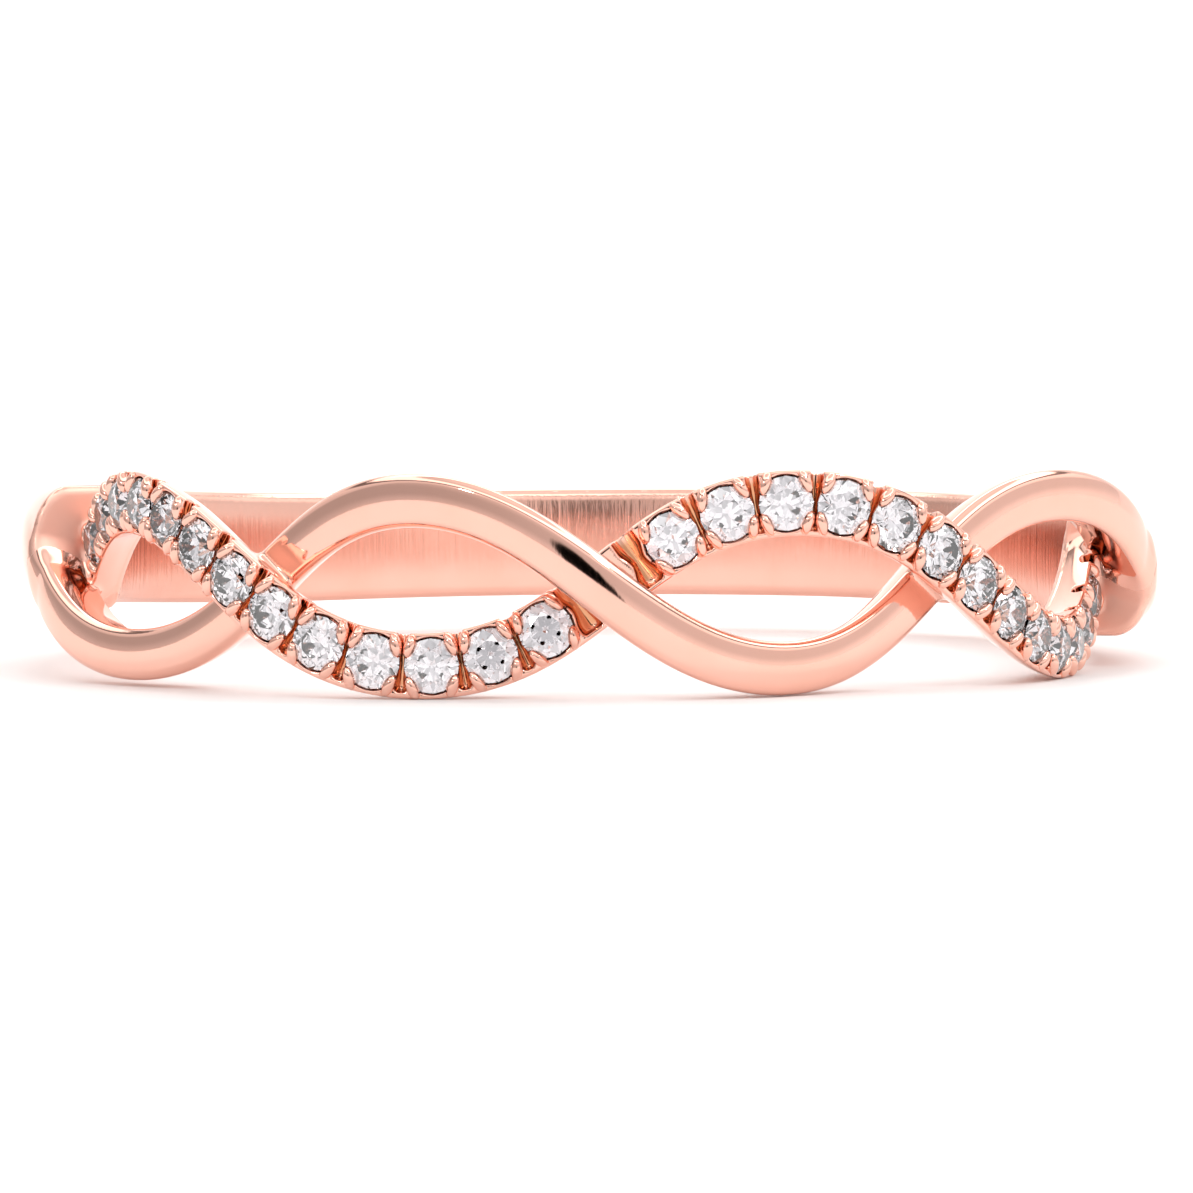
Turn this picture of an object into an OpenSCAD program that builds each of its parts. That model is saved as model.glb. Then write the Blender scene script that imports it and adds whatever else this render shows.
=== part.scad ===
// Infinity ring: a polished band whose front half is two woven strands, one plain and one set with stones.
// The finger's axis is Z, and the middle of the woven front faces -Y. The origin is the finger hole's centre.

/* [Finger hole] */
// Diameter of the finger hole
finger_d = 17.3; // [15:0.1:21]

/* [Weave] */
// Width of the woven front, from edge to edge
band_w = 3.6; // [3.3:0.05:4]
// Height of the highest metal above the finger hole
crown_h = 1.58; // [1.5:0.02:1.9]
// Angle round the finger from one crossing to the next
cross_angle = 36; // [33:1:39]
// How far the lower strand dives below the upper one at a crossing
dive = 0.84; // [0.6:0.02:0.9]
// Thickness of a strand, from its crown to its inner side
strand_t = 1.06; // [1:0.02:1.2]
// Width of the plain strand
plain_w = 0.88; // [0.76:0.02:1]
// Angle by which the plain strand's wave runs ahead, toward the ring's left
plain_lead = 1; // [0:0.1:2]
// Width of the strand that holds the stones
set_w = 1.06; // [1.02:0.02:1.2]

/* [Shank] */
// Width of the plain band behind the weave
shank_w = 2.14; // [1.8:0.02:2.3]
// Thickness of the plain band at the back
shank_t = 1.44; // [1.2:0.02:1.5]
// How far the band's left front end lies above the middle
left_skew = 0.42; // [0.2:0.02:0.5]
// How far the band's right front end lies below the middle
right_skew = 0.2; // [0.14:0.02:0.5]
// Bevel along the band's inner edges
bevel = 0.08; // [0.04:0.01:0.15]

/* [Stones] */
// Diameter of a stone
stone_d = 0.88; // [0.8:0.01:0.9]
// Distance from one stone to the next, along the strand
stone_pitch = 0.963; // [0.95:0.001:1.05]
// Bare run between the plain strand and the nearest stone, at the middle crossing
cross_room = 0.33; // [0.25:0.01:0.45]
// Bare run between the last stone and the crossing at the band's front end
end_room = 0.42; // [0.4:0.01:1]

/* [Setting] */
// Clearance between a stone and its seat
seat_gap = 0.02; // [0.01:0.005:0.03]
// Depth of a stone's girdle below the raised rims
girdle_drop = 0.14; // [0.12:0.01:0.18]
// Width of the notch between two stones
notch_w = 0.2; // [0.12:0.02:0.24]
// Depth of the notch below the raised rims
notch_h = 0.34; // [0.2:0.02:0.44]
// Height of the raised rims along the set strand's edges, above the strand's middle
rim_h = 0.05; // [0.03:0.01:0.1]

/* [Hidden] */
finger_r = finger_d / 2;
crown_r = finger_r + crown_h;
mean_r = crown_r - dive / 2;
plain_rise = (band_w - plain_w) / 2;
set_rise = (band_w - set_w) / 2;
last_cross = 2 * cross_angle;

// Metal reaches this far inside the finger hole before the hole is cut.
inside = 0.4;
hole_sides = 112;
// The plain strand runs on this far past its last crossing. It sinks into the shank, from this far before it.
run_on = 12.5;
sink_from = 4;
sink = 0.34;
// Angle between two sections of a strand. No section of one piece lies in the plane of another's.
sweep_step = 3;

// The wave of a strand: a little of its third harmonic makes the crossings steeper and the crests flatter.
steeper = 0.028;
waves = 180 / cross_angle;
function phase(th) = th * waves;
function wave(th) = (sin(phase(th)) + steeper * sin(3 * phase(th))) / (1 - steeper);
function wave_slope(th) = waves * (cos(phase(th)) + 3 * steeper * cos(3 * phase(th))) / (1 - steeper);

// A step from 0 to 1 with level ends.
function ease(x) = let (t = min(max(x, 0), 1)) t * t * (3 - 2 * t);
function unit(v) = v / norm(v);
// The point at angle th from the front, r from the finger's axis and z up.
function polar(th, r, z) = [r * sin(th), -r * cos(th), z];

// Profiles, from the finger side round the crown and back. The strands' points are shares of the half width
// and of the thickness, the shank's outer points are shares of the half width and of the crown's height.
PLAIN = [[-0.22, 1], [-0.42, 0.76], [-0.62, 0.6], [-0.9, 0.43], [-1, 0.28], [-0.97, 0.14], [-0.85, 0.05],
    [-0.45, 0.01], [0.45, 0.01], [0.85, 0.05], [0.97, 0.14], [1, 0.28], [0.9, 0.43], [0.62, 0.6],
    [0.42, 0.76], [0.22, 1]];
rim_drop = rim_h / strand_t;
RIM = [[-0.28, 1], [-0.5, 0.76], [-0.72, 0.6], [-0.95, 0.43], [-1, 0.28], [-0.98, 0.1], [-0.93, 0],
    [-0.72, 0], [-0.62, rim_drop], [0.62, rim_drop], [0.72, 0], [0.93, 0], [0.98, 0.1], [1, 0.28],
    [0.95, 0.43], [0.72, 0.6], [0.5, 0.76], [0.28, 1]];
DOME = [[-1, 0.45], [-0.94, 0.3], [-0.82, 0.18], [-0.6, 0.08], [-0.2, 0.01],
    [0.2, 0.01], [0.6, 0.08], [0.82, 0.18], [0.94, 0.3], [1, 0.45]];

// A strand's section in the plane at angle th, with its crown at radius r and its middle at height z.
function strand_section(th, z, r, half_w, profile) =
    [for (p = profile) polar(th, r - p[1] * strand_t, z + p[0] * half_w)];

// A closed skin through sections that have the same number of points.
module skin(sections) {
    n = len(sections[0]);
    last = len(sections) - 1;
    sides = [for (i = [0 : last - 1], j = [0 : n - 1]) let (k = (j + 1) % n)
        [i * n + j, i * n + k, (i + 1) * n + k, (i + 1) * n + j]];
    polyhedron(
        points = [for (s = sections, p = s) p],
        faces = concat([[for (j = [n - 1 : -1 : 0]) j]], sides, [[for (j = [0 : n - 1]) last * n + j]]),
        convexity = 12);
}

// A strand's width is measured across its run, so it is wider in a plane through the finger's axis.
function stretch(th) = sqrt(1 + pow(set_rise * wave_slope(th) / mean_r, 2));

// The plain strand is over at the middle and at both ends. Its wave is calmer toward the ends, by this share,
// and past its last crossing it settles along the shank.
calmer = 0.12;
function skew(th) = th < 0 ? left_skew : -right_skew;
function lead(th) = plain_lead * (1 - pow(th / last_cross, 2));
function swing(th) = plain_rise * (1 - calmer * pow(th / last_cross, 2));
function settle(th) = swing(last_cross) * wave_slope(last_cross) * PI / 180 / abs(skew(th));
function plain_level(th) = mean_r + dive / 2 * cos(min(phase(abs(th)), phase(last_cross)))
    - sink * ease((abs(th) - last_cross + sink_from) / (run_on + sink_from));
function plain_z(th) = abs(th) > last_cross
    ? skew(th) * (1 - exp(-settle(th) * (abs(th) - last_cross)))
    : -swing(th) * wave(th + lead(th));

function plain_half_w(th) = plain_w / 2 * stretch(min(abs(th), last_cross));

module plain_strand() {
    reach = last_cross + run_on;
    skin([for (i = [0 : ceil(2 * reach / sweep_step)])
        let (th = min(i * sweep_step - reach, reach))
        strand_section(th, plain_z(th), plain_level(th), plain_half_w(th), PLAIN)]);
}

// The set strand is over where the plain one is under, and ends inside the shank.
function set_level(th) = mean_r - dive / 2 * cos(phase(th));
function set_z(th) = set_rise * wave(th);

module set_strand() {
    skin([for (th = [-last_cross : sweep_step : last_cross])
        strand_section(th, set_z(th), set_level(th), set_w / 2 * stretch(th), RIM)]);
}

// The shank's front ends stand to one side, and it comes to the middle before it reaches the back.
shank_start = last_cross - 1;
shank_step = 3;
centred = 150;
function off_side(th) = 1 - ease((abs(th) - last_cross) / (centred - last_cross));
function shank_level(th) = finger_r + shank_t + (crown_h - shank_t) * off_side(th);

// The shank's section at angle th: a domed crown, and at each inner edge a bevel that runs on into the hole.
function shank_section(th) =
    let (z = skew(th) * off_side(th), r = shank_level(th), half_w = shank_w / 2)
    let (deep_w = half_w - bevel - inside)
    concat(
        [polar(th, finger_r - inside, z - deep_w), polar(th, finger_r + bevel, z - half_w)],
        [for (p = DOME) polar(th, r - p[1] * crown_h, z + p[0] * half_w)],
        [polar(th, finger_r + bevel, z + half_w), polar(th, finger_r - inside, z + deep_w)]);

module shank() {
    turn = (360 - 2 * shank_start) / ceil((360 - 2 * shank_start) / shank_step);
    skin([for (i = [0 : round((360 - 2 * shank_start) / turn)])
        let (th = shank_start + i * turn)
        shank_section(th < 180 ? th : th - 360)]);
}

// The set strand's run is measured in small steps, then read back as angles.
run_step = 0.5;
function set_point(th) = polar(th, set_level(th), set_z(th));
run_angles = [for (th = [0 : run_step : last_cross]) th];
run_lengths = [for (i = 0, s = 0; i < len(run_angles);
    s = s + norm(set_point(run_angles[i] + run_step) - set_point(run_angles[i])), i = i + 1) s];
angle_table = [for (i = [0 : len(run_angles) - 1]) [run_lengths[i], run_angles[i]]];
run_table = [for (p = angle_table) [p[1], p[0]]];
function angle_at(s) = sign(s) * lookup(abs(s), angle_table);

// The frame on the set strand at length s: along the strand, across it, and out of it.
module on_strand(s) {
    th = angle_at(s);
    along = unit(set_point(th + run_step) - set_point(th - run_step));
    radial = polar(th, 1, 0);
    out = unit(radial - (radial * along) * along);
    across = cross(out, along);
    at = set_point(th);
    multmatrix([for (i = [0 : 2]) [along[i], across[i], out[i], at[i]]]) children();
}

// The plain strand covers this much of the set strand on each side of the middle crossing.
cross_slope = atan(set_rise * wave_slope(0) / mean_r);
covered = plain_w / 2 / sin(2 * cross_slope);
first_stone = covered + cross_room + stone_d / 2;
last_stone = lookup(last_cross, run_table) - end_room - stone_d / 2;
side_stones = 1 + floor((last_stone - first_stone) / stone_pitch);
stones = 2 * side_stones;

// Stones are counted from the ring's left end to its right one.
function stone_place(i) = i < side_stones
    ? -(first_stone + (side_stones - 1 - i) * stone_pitch)
    : first_stone + (i - side_stones) * stone_pitch;

// Proportions of a round brilliant, as shares of its diameter.
table_share = 0.56;
crown_share = 0.15;
pavilion_share = 0.42;
girdle_share = 0.03;
stone_r = stone_d / 2;
table_r = table_share * stone_r;
top_h = crown_share * stone_d;
point_h = pavilion_share * stone_d;
girdle_h = girdle_share * stone_d / 2;

// Height of a main facet's plane at x from the stone's axis. It falls from h at x_top to 0 at the girdle.
function facet_h(x, x_top, h) = h * (stone_r - x) / (stone_r - x_top);

// A round brilliant with a table, main facets, stars and halves, and its girdle round z = 0.
module brilliant() {
    star_r = (table_r + stone_r) / 2;
    low_r = stone_r * 0.3;
    star_h = girdle_h + facet_h(star_r * cos(22.5), table_r, top_h);
    low_h = girdle_h + facet_h(low_r * cos(22.5), 0, point_h);
    function spot(i, r, z) = [r * cos(i * 22.5), r * sin(i * 22.5), z];
    points = concat(
        [for (i = [0 : 7]) spot(2 * i, table_r, girdle_h + top_h)],
        [for (i = [0 : 7]) spot(2 * i + 1, star_r, star_h)],
        [for (i = [0 : 15]) spot(i, stone_r, girdle_h)],
        [for (i = [0 : 15]) spot(i, stone_r, -girdle_h)],
        [for (i = [0 : 7]) spot(2 * i + 1, low_r, -low_h)],
        [[0, 0, -girdle_h - point_h]]);
    crown = concat(
        [[7, 6, 5, 4, 3, 2, 1, 0]],
        [for (i = [0 : 7]) [i, (i + 1) % 8, 8 + i]],
        [for (i = [0 : 7]) [i, 8 + i, 16 + 2 * i, 8 + (i + 7) % 8]],
        [for (i = [0 : 7]) [8 + i, 17 + 2 * i, 16 + 2 * i]],
        [for (i = [0 : 7]) [8 + i, 16 + (2 * i + 2) % 16, 17 + 2 * i]]);
    girdle = [for (i = [0 : 15]) let (k = (i + 1) % 16) [16 + i, 16 + k, 32 + k, 32 + i]];
    pavilion = concat(
        [for (i = [0 : 7]) [32 + 2 * i, 33 + 2 * i, 48 + i]],
        [for (i = [0 : 7]) [33 + 2 * i, 32 + (2 * i + 2) % 16, 48 + i]],
        [for (i = [0 : 7]) [32 + 2 * i, 48 + i, 56, 48 + (i + 7) % 8]]);
    polyhedron(points = points, faces = concat(crown, girdle, pavilion), convexity = 2);
}

module stone(i) {
    color("white") on_strand(stone_place(i)) translate([0, 0, -girdle_drop]) brilliant();
}

// What is cut above a seat or a notch reaches this far out of the strand.
above = 0.5;
seat_sides = 16;

// The hole that a stone drops into: straight above its girdle, a cone below it.
module seat() {
    r = stone_r + seat_gap;
    cone_h = point_h + seat_gap;
    translate([0, 0, -girdle_drop - girdle_h - seat_gap]) {
        cylinder(r = r, h = above, $fn = seat_sides);
        translate([0, 0, -cone_h]) cylinder(r1 = 0, r2 = r, h = cone_h, $fn = seat_sides);
    }
}

// The U-shaped notch across the strand between two stones.
module notch() {
    w = notch_w / 2;
    rotate([90, 0, 0]) linear_extrude(height = 2 * set_w, center = true)
        polygon([[-w, above], [-w, w - notch_h], [-w / 2, -notch_h],
            [w / 2, -notch_h], [w, w - notch_h], [w, above]]);
}

// All the metal round the finger, before the finger hole is cut. What the seats and notches leave of the
// raised rims are the stones' prongs, four to a stone.
module weave() {
    shank();
    plain_strand();
    difference() {
        set_strand();
        for (i = [0 : stones - 1]) on_strand(stone_place(i)) seat();
        for (side = [-1, 1], i = [0 : side_stones])
            on_strand(side * (first_stone + (i - 0.5) * stone_pitch)) notch();
    }
}

// The finger hole is cut last. Sections may miss the waves' crests by a little, so the band is drawn out to
// the front's full width.
module band() {
    color("#e8a48c") resize([0, 0, band_w]) difference() {
        weave();
        cylinder(r = finger_r, h = 2 * band_w, center = true, $fn = hole_sides);
    }
}

function stone_name(i) = str("stone_", i < 9 ? "0" : "", i + 1);
band();
for (i = [0 : stones - 1]) stone(i);
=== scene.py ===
"""Infinity ring in rose gold: the woven band, its prongs, its stones, and a plain stage to show them on.

Lengths in the mesh code are millimetres and angles are degrees, as on a goldsmith's drawing. Meshes are
written in metres. The finger's axis is Z and the middle of the woven front faces -Y.
"""

import math

import bpy
import numpy as np
from mathutils import Matrix, Vector


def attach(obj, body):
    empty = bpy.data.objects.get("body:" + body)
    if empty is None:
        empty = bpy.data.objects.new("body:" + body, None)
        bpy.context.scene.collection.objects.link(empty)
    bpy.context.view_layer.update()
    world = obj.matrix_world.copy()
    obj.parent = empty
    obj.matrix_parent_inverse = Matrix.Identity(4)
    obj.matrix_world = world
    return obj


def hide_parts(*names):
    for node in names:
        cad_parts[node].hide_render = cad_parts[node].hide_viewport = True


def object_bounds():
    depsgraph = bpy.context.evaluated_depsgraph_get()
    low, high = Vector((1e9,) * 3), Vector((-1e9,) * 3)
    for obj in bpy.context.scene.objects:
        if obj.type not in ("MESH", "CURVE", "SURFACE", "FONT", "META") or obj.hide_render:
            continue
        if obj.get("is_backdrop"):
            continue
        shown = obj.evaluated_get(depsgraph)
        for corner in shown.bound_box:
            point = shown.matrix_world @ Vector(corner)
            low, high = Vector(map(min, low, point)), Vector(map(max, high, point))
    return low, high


bl_info = {
    "name": "Infinity Ring",
    "version": (1, 0, 0),
    "blender": (4, 5, 0),
    "location": "View3D > Sidebar > Ring",
    "description": "A rose gold ring whose front is two woven strands, one plain and one set with stones",
    "category": "Object",
}

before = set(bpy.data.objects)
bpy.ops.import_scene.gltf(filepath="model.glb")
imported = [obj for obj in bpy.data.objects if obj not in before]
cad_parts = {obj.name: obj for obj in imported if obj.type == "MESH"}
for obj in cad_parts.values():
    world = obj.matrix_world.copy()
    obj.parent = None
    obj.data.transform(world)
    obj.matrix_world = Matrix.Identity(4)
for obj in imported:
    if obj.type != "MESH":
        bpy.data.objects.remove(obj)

MM = 0.001
BODY = "root"


# Sizes and colours that a user would change


class RingSizes(bpy.types.PropertyGroup):
    """The goldsmith's sizes of the woven band, in millimetres, as the solid parts have them"""

    finger_d: bpy.props.FloatProperty(
        name="Finger hole", description="Diameter of the finger hole in mm", default=17.3, min=15, max=21
    )
    band_w: bpy.props.FloatProperty(
        name="Front width", description="Width of the woven front in mm", default=3.6, min=3.3, max=4
    )
    crown_h: bpy.props.FloatProperty(
        name="Front height", description="Highest metal above the finger hole in mm", default=1.58
    )
    cross_angle: bpy.props.FloatProperty(
        name="Crossing step", description="Degrees round the finger from one crossing to the next", default=36
    )
    dive: bpy.props.FloatProperty(
        name="Dive", description="How far the lower strand dives at a crossing, in mm", default=0.84
    )
    strand_t: bpy.props.FloatProperty(
        name="Strand thickness", description="From a strand's crown to its inner side in mm", default=1.06
    )
    plain_w: bpy.props.FloatProperty(
        name="Plain strand", description="Width of the plain strand in mm", default=0.88
    )
    plain_lead: bpy.props.FloatProperty(
        name="Plain strand's lead", description="Degrees by which its wave runs ahead", default=1
    )
    set_w: bpy.props.FloatProperty(
        name="Set strand", description="Width of the strand with stones in mm", default=1.06
    )
    shank_w: bpy.props.FloatProperty(
        name="Shank width", description="Width of the plain band in mm", default=2.14
    )
    shank_t: bpy.props.FloatProperty(
        name="Shank thickness", description="Thickness of the plain band at the back in mm", default=1.44
    )
    left_skew: bpy.props.FloatProperty(
        name="Left end's rise", description="How far the left front end lies above the middle", default=0.42
    )
    right_skew: bpy.props.FloatProperty(
        name="Right end's drop", description="How far the right front end lies below the middle", default=0.2
    )


class SettingSizes(bpy.types.PropertyGroup):
    """The stones, their seats and the prongs that hold them, in millimetres"""

    stone_d: bpy.props.FloatProperty(name="Stone", description="Diameter of a stone in mm", default=0.88)
    stone_pitch: bpy.props.FloatProperty(
        name="Stone pitch", description="From one stone to the next along the strand in mm", default=0.963
    )
    cross_room: bpy.props.FloatProperty(
        name="Room at the middle", description="Bare run beside the middle crossing in mm", default=0.33
    )
    end_room: bpy.props.FloatProperty(
        name="Room at the ends", description="Bare run before the last crossings in mm", default=0.42
    )
    seat_gap: bpy.props.FloatProperty(
        name="Seat gap", description="Clearance between a stone and its seat in mm", default=0.02
    )
    girdle_drop: bpy.props.FloatProperty(
        name="Girdle depth", description="A stone's girdle below the strand's rim in mm", default=0.14
    )
    notch_w: bpy.props.FloatProperty(
        name="Notch width", description="Width of the groove between two stones in mm", default=0.2
    )
    notch_h: bpy.props.FloatProperty(
        name="Notch depth", description="Depth of the groove between two stones in mm", default=0.34
    )
    prong_l: bpy.props.FloatProperty(
        name="Prong length", description="Length of a prong's tip in mm", default=0.42
    )
    prong_w: bpy.props.FloatProperty(
        name="Prong width", description="Width of a prong's tip in mm", default=0.21
    )
    prong_t: bpy.props.FloatProperty(
        name="Prong thickness", description="Thickness of a prong's tip in mm", default=0.24
    )
    prong_sides: bpy.props.IntProperty(
        name="Prong sides", description="Sides round a prong's tip", default=10, min=6, max=16
    )


class RingLooks(bpy.types.PropertyGroup):
    """Colours and polish of the metal and the stones"""

    gold: bpy.props.FloatVectorProperty(
        name="Gold", description="Colour of the rose gold", subtype="COLOR", size=3,
        default=(0.93, 0.535, 0.43)
    )
    # Painted shade: this darker gold is mixed into the metal's colour in the set strand's seats and grooves,
    # standing in for the shade and deep reflections there; it also tints random dulled patches.
    gold_shaded_and_dulled: bpy.props.FloatVectorProperty(
        name="Shaded and dulled gold", description="Colour of the gold in its grooves", subtype="COLOR", size=3,
        default=(0.7, 0.33, 0.18)
    )
    polish: bpy.props.FloatProperty(
        name="Polish", description="Roughness of the polished metal", default=0.07, min=0, max=1,
        subtype="FACTOR"
    )
    stone_tint: bpy.props.FloatVectorProperty(
        name="Stone", description="Tint of the stones", subtype="COLOR", size=3, default=(0.93, 0.89, 0.925)
    )


class StageSettings(bpy.types.PropertyGroup):
    """The floor, the lights and the camera"""

    distance: bpy.props.FloatProperty(
        name="Camera distance", description="From the ring's centre to the camera", default=0.075,
        unit="LENGTH"
    )
    elevation: bpy.props.FloatProperty(
        name="Camera height angle", description="The camera's angle above the ring", subtype="ANGLE",
        default=math.radians(2.414)
    )
    turn: bpy.props.FloatProperty(
        name="Camera turn", description="The camera's turn round the finger's axis", subtype="ANGLE",
        default=math.radians(2.07)
    )
    roll: bpy.props.FloatProperty(
        name="Camera roll", description="The camera's roll", subtype="ANGLE", default=math.radians(-0.387)
    )
    light: bpy.props.FloatProperty(
        name="Light", description="Strength of all the lamps together", default=1.0, min=0, max=5
    )
    floor: bpy.props.FloatVectorProperty(
        name="Floor", description="Colour of the floor", subtype="COLOR", size=3, default=(0.93, 0.92, 0.915)
    )


# The laws of the weave


# Shares by which the waves are steeper at the crossings and smaller at the ends
STEEPER = 0.028
CALMER = 0.12
# Degrees that the plain strand runs on past the last crossings, degrees before them at which it starts
# to sink, and how deep it sinks in millimetres
RUN_ON = 13
SINK_FROM = 4
SINK = 0.34
# Degrees: the shank starts before the last crossings, and is centred again at the back
SHANK_LAP = 1
CENTRED = 150
RUN_STEP = 0.5
# Shares of a stone's diameter
GIRDLE_SHARE = 0.03
POINT_SHARE = 0.42
# The wider groove beside the middle crossing: its run before the first stone, and its width
RECESS_AT = 0.64
RECESS_W = 0.4


def sind(a):
    return np.sin(np.radians(a))


def cosd(a):
    return np.cos(np.radians(a))


def ease(x):
    """A step from 0 to 1 with level ends."""
    t = np.clip(x, 0, 1)
    return t * t * (3 - 2 * t)


def round_max(a, b, radius):
    """The overlap of two solids, with its outer edge rounded."""
    corner = np.hypot(np.maximum(radius + a, 0), np.maximum(radius + b, 0))
    return np.minimum(-radius, np.maximum(a, b)) + corner


def round_min(a, b, radius):
    """The union of two solids, with a fillet where they meet."""
    corner = np.hypot(np.maximum(radius - a, 0), np.maximum(radius - b, 0))
    return np.maximum(radius, np.minimum(a, b)) - corner


class Weave:
    """The paths of the two strands and the shank, and the places of the stones."""

    def __init__(self, ring, setting):
        self.ring = ring
        self.setting = setting
        self.finger_r = ring.finger_d / 2
        self.crown_r = self.finger_r + ring.crown_h
        self.mean_r = self.crown_r - ring.dive / 2
        self.plain_rise = (ring.band_w - ring.plain_w) / 2
        self.set_rise = (ring.band_w - ring.set_w) / 2
        self.last_cross = 2 * ring.cross_angle
        self.waves = 180 / ring.cross_angle
        self.shank_start = self.last_cross - SHANK_LAP
        self.measure_run()
        self.place_stones()

    def phase(self, th):
        return th * self.waves

    def wave(self, th):
        p = self.phase(th)
        return (sind(p) + STEEPER * sind(3 * p)) / (1 - STEEPER)

    def wave_slope(self, th):
        p = self.phase(th)
        return self.waves * (cosd(p) + 3 * STEEPER * cosd(3 * p)) / (1 - STEEPER)

    def stretch(self, th):
        """A strand is measured across its run, so it is wider in a plane through the finger's axis."""
        return np.sqrt(1 + (self.set_rise * self.wave_slope(th) / self.mean_r) ** 2)

    def skew(self, th):
        return np.where(th < 0, self.ring.left_skew, -self.ring.right_skew)

    def swing(self, th):
        return self.plain_rise * (1 - CALMER * (th / self.last_cross) ** 2)

    def plain_level(self, th):
        p = np.minimum(self.phase(np.abs(th)), self.phase(self.last_cross))
        sunk = SINK * ease((np.abs(th) - self.last_cross + SINK_FROM) / (RUN_ON + SINK_FROM))
        return self.mean_r + self.ring.dive / 2 * cosd(p) - sunk

    def plain_z(self, th):
        last = self.last_cross
        lead = self.ring.plain_lead * (1 - (th / last) ** 2)
        woven = -self.swing(th) * self.wave(th + lead)
        skew = self.skew(th)
        settle = np.radians(self.swing(last) * self.wave_slope(last)) / np.abs(skew)
        past = np.maximum(np.abs(th) - last, 0)
        return np.where(np.abs(th) > last, skew * (1 - np.exp(-settle * past)), woven)

    def set_level(self, th):
        return self.mean_r - self.ring.dive / 2 * cosd(self.phase(th))

    def set_z(self, th):
        return self.set_rise * self.wave(th)

    def set_point(self, th):
        level = self.set_level(th)
        return np.stack([level * sind(th), -level * cosd(th), self.set_z(th)], axis=-1)

    def off_side(self, th):
        return 1 - ease((np.abs(th) - self.last_cross) / (CENTRED - self.last_cross))

    def shank_z(self, th):
        return self.skew(th) * self.off_side(th)

    def shank_level(self, th):
        return self.finger_r + self.ring.shank_t + (self.ring.crown_h - self.ring.shank_t) * self.off_side(th)

    def measure_run(self):
        """The set strand's length from the middle, in small steps, to a little past its end."""
        self.angles = np.arange(0, self.last_cross + 6 * RUN_STEP, RUN_STEP)
        points = self.set_point(self.angles)
        steps = np.linalg.norm(np.diff(points, axis=0), axis=1)
        self.lengths = np.concatenate([[0], np.cumsum(steps)])

    def angle_at(self, run):
        return np.copysign(np.interp(np.abs(run), self.lengths, self.angles), run)

    def frame_at(self, run):
        """The set strand's place at that run: its angle, its point and its axes along, across and out."""
        th = self.angle_at(run)
        ahead, behind = self.set_point(th + RUN_STEP), self.set_point(th - RUN_STEP)
        along = (ahead - behind) / np.linalg.norm(ahead - behind)
        radial = np.array([sind(th), -cosd(th), 0])
        out = radial - radial.dot(along) * along
        out /= np.linalg.norm(out)
        return th, self.set_point(th), np.stack([along, np.cross(out, along), out])

    def place_stones(self):
        """Stones are counted from the ring's left end to its right one."""
        s = self.setting
        stone_r = s.stone_d / 2
        cross_slope = math.atan(self.set_rise * self.wave_slope(0) / self.mean_r)
        covered = self.ring.plain_w / 2 / math.sin(2 * cross_slope)
        first = covered + s.cross_room + stone_r
        last = np.interp(self.last_cross, self.angles, self.lengths) - s.end_room - stone_r
        a_side = 1 + math.floor((last - first) / s.stone_pitch)
        right = [first + i * s.stone_pitch for i in range(a_side)]
        self.stones = [self.frame_at(run) for run in [-run for run in reversed(right)] + right]
        cuts = [(first + (i + 0.5) * s.stone_pitch, s.notch_w) for i in range(a_side)]
        cuts.append((first - RECESS_AT, RECESS_W))
        self.notches = [(*self.frame_at(side * run), width) for side in (-1, 1) for run, width in cuts]


# The metal as one field: negative inside the gold, positive outside it


# Degrees round a stone or a groove beyond which its cut doesn't reach
NEAR = 9.0


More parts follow.
